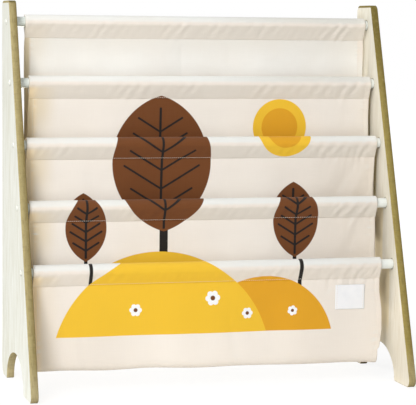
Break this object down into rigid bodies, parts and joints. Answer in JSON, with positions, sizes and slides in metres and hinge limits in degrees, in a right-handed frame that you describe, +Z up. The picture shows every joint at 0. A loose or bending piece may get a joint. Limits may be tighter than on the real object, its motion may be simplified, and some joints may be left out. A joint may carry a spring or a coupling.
{
  "type": "sling bookshelf",
  "caption": "Child's free-standing bookshelf: two slanted side panels joined by round rods, with cloth slings hung between the rods as open pockets for books.",
  "frame": {"origin": "on the floor, under the middle of the stand's width and depth", "axes": "+Z up, +X to the right of a viewer in front, -Y towards that viewer"},
  "size_m": [0.6278, 0.2716, 0.61],
  "materials": {
    "side_panel": "whitewashed faces with raw olive-brown edges",
    "rod": "turned wood in white satin paint",
    "insert": "zinc plated",
    "bolt": "white painted",
    "canvas": "cream plain-weave canvas with a printed picture of plants and hills",
    "label": "blank white woven tape"
  },
  "bodies": {
    "root": {"left_side_panel": "side_panel", "right_side_panel": "side_panel", "rod_1": "rod", "rod_2": "rod", "rod_3": "rod", "rod_4": "rod", "rod_5": "rod", "insert_left_1": "insert", "insert_left_2": "insert", "insert_left_3": "insert", "insert_left_4": "insert", "insert_left_5": "insert", "insert_right_1": "insert", "insert_right_2": "insert", "insert_right_3": "insert", "insert_right_4": "insert", "insert_right_5": "insert", "bolt_left_1": "bolt", "bolt_left_2": "bolt", "bolt_left_3": "bolt", "bolt_left_4": "bolt", "bolt_left_5": "bolt", "bolt_right_1": "bolt", "bolt_right_2": "bolt", "bolt_right_3": "bolt", "bolt_right_4": "bolt", "bolt_right_5": "bolt", "sling_1": "canvas", "sling_2": "canvas", "sling_3": "canvas", "sling_4": "canvas", "woven_label": "label"}
  },
  "joints": []
}
